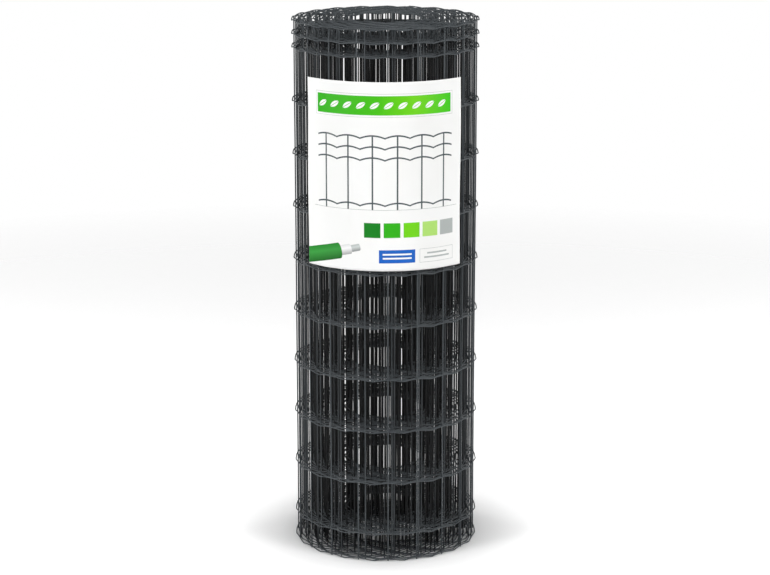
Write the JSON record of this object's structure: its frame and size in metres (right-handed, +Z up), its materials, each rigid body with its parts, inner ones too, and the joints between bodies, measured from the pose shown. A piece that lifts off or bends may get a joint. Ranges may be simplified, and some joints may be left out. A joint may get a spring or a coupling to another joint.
{
  "type": "roll of garden mesh",
  "caption": "Roll of plastic-coated welded wire garden mesh, wound into an open cylinder with a bore along its axis, with a label sheet round its front.",
  "frame": {"origin": "middle of the roll's foot, on the axis of its bore, where it stands on the floor", "axes": "+Z up along the bore axis, -Y out through the middle of the label, +X to the right when facing the label"},
  "size_m": [0.3577, 0.3585, 1.0216],
  "materials": {
    "coated_wire": "anthracite plastic coat on steel wire, satin",
    "label_sheet": "smooth white printed sheet"
  },
  "bodies": {
    "root": {"mesh_roll": "coated_wire", "label": "label_sheet"}
  },
  "joints": []
}
